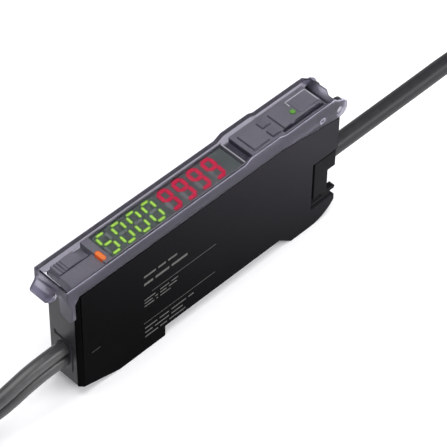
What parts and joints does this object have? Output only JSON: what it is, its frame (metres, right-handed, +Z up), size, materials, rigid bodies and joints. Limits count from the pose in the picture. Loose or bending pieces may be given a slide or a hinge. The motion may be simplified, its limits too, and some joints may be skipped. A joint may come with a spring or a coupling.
{
  "type": "fibre optic sensor amplifier",
  "caption": "Slim rail-mounted fibre optic sensor amplifier: black case, hinged smoke-clear cover over a two-colour numeric display and keys, fibre ports at one end, cable at the other.",
  "frame": {"origin": "on the surface that the feet stand on, under the middle of the object's box without its cords", "axes": "+X along the case towards the cable, +Y across the case away from the label side, +Z up"},
  "size_m": [0.3638, 0.0313, 0.0395],
  "materials": {
    "black_plastic": "fine spark-eroded black moulding",
    "charcoal_plastic": "satin charcoal moulding",
    "panel_plastic": "dark grey moulding",
    "clear_smoke": "smoke-tinted clear plastic",
    "window_smoke": "dark clear plastic",
    "display_black": "display moulding",
    "green_light": "lit segments",
    "red_light": "lit segments",
    "orange_light": "lit lens",
    "green_lens": "lit lens",
    "key_plastic": "grey key caps",
    "switch_metal": "plated",
    "steel": "turned",
    "inner_plastic": "black moulding",
    "emitter_clear": "clear epoxy",
    "board_green": "solder mask",
    "link_ivory": "connector housing",
    "capacitor_blue": "sleeved can",
    "bush_rubber": "black elastomer",
    "cable_sheath": "matt vinyl sheath",
    "fibre_sheath": "grey-black polyethylene",
    "tie_white": "natural nylon",
    "core_brown": "core insulation",
    "core_black": "core insulation",
    "core_blue": "core insulation"
  },
  "bodies": {
    "case": {"side_cover": "black_plastic", "hinge_block": "black_plastic", "main_case": "charcoal_plastic", "top_panel": "panel_plastic", "legend_plate": "panel_plastic", "display_window": "window_smoke", "display_module": "display_black", "green_digits": "green_light", "red_digits": "red_light", "output_indicator": "orange_light", "status_lens": "green_lens", "tune_switch": "switch_metal", "up_switch": "switch_metal", "down_switch": "switch_metal", "mode_switch": "switch_metal", "hinge_pin": "steel", "head_lower": "steel", "head_upper": "steel", "optical_block": "inner_plastic", "terminal_block": "inner_plastic", "processor_chip": "inner_plastic", "power_chip": "inner_plastic", "photodiode": "inner_plastic", "emitter": "emitter_clear", "main_board": "board_green", "display_board": "board_green", "board_link": "link_ivory", "capacitor": "capacitor_blue", "cable_bush": "bush_rubber", "fibre_clamp": "bush_rubber", "cable_stub": "cable_sheath", "power_cable": "cable_sheath", "cable_hank": "cable_sheath", "fibre_stub_lower": "fibre_sheath", "fibre_stub_upper": "fibre_sheath", "fibre_lower": "fibre_sheath", "fibre_upper": "fibre_sheath", "fibre_hank": "fibre_sheath", "cable_tie": "tie_white", "fibre_tie": "tie_white", "core_brown": "core_brown", "core_black": "core_black", "core_blue": "core_blue"},
    "cover": {"protective_cover": "clear_smoke"},
    "lock": {"fibre_lock": "panel_plastic"},
    "tune": {"tune_button": "key_plastic"},
    "up": {"up_key": "key_plastic"},
    "down": {"down_key": "key_plastic"},
    "mode": {"mode_key": "key_plastic"}
  },
  "joints": [
    {"name": "cover_hinge", "type": "hinge", "parent": "case", "child": "cover", "pos_m": [0.0396, 0, 0.0324], "axis": [0, 1, 0], "range_deg": [0, 105]},
    {"name": "lock_slide", "type": "slide", "parent": "case", "child": "lock", "axis": [1, 0, 0], "range_m": [0, 0.0018]},
    {"name": "tune_press", "type": "slide", "parent": "case", "child": "tune", "axis": [0, 0, -1], "range_m": [0, 0.00035], "stiffness_N_per_m": 300, "springref_m": -0.0005},
    {"name": "up_press", "type": "slide", "parent": "case", "child": "up", "axis": [0, 0, -1], "range_m": [0, 0.00035], "stiffness_N_per_m": 300, "springref_m": -0.0005},
    {"name": "down_press", "type": "slide", "parent": "case", "child": "down", "axis": [0, 0, -1], "range_m": [0, 0.00035], "stiffness_N_per_m": 300, "springref_m": -0.0005},
    {"name": "mode_press", "type": "slide", "parent": "case", "child": "mode", "axis": [0, 0, -1], "range_m": [0, 0.00035], "stiffness_N_per_m": 300, "springref_m": -0.0005}
  ]
}
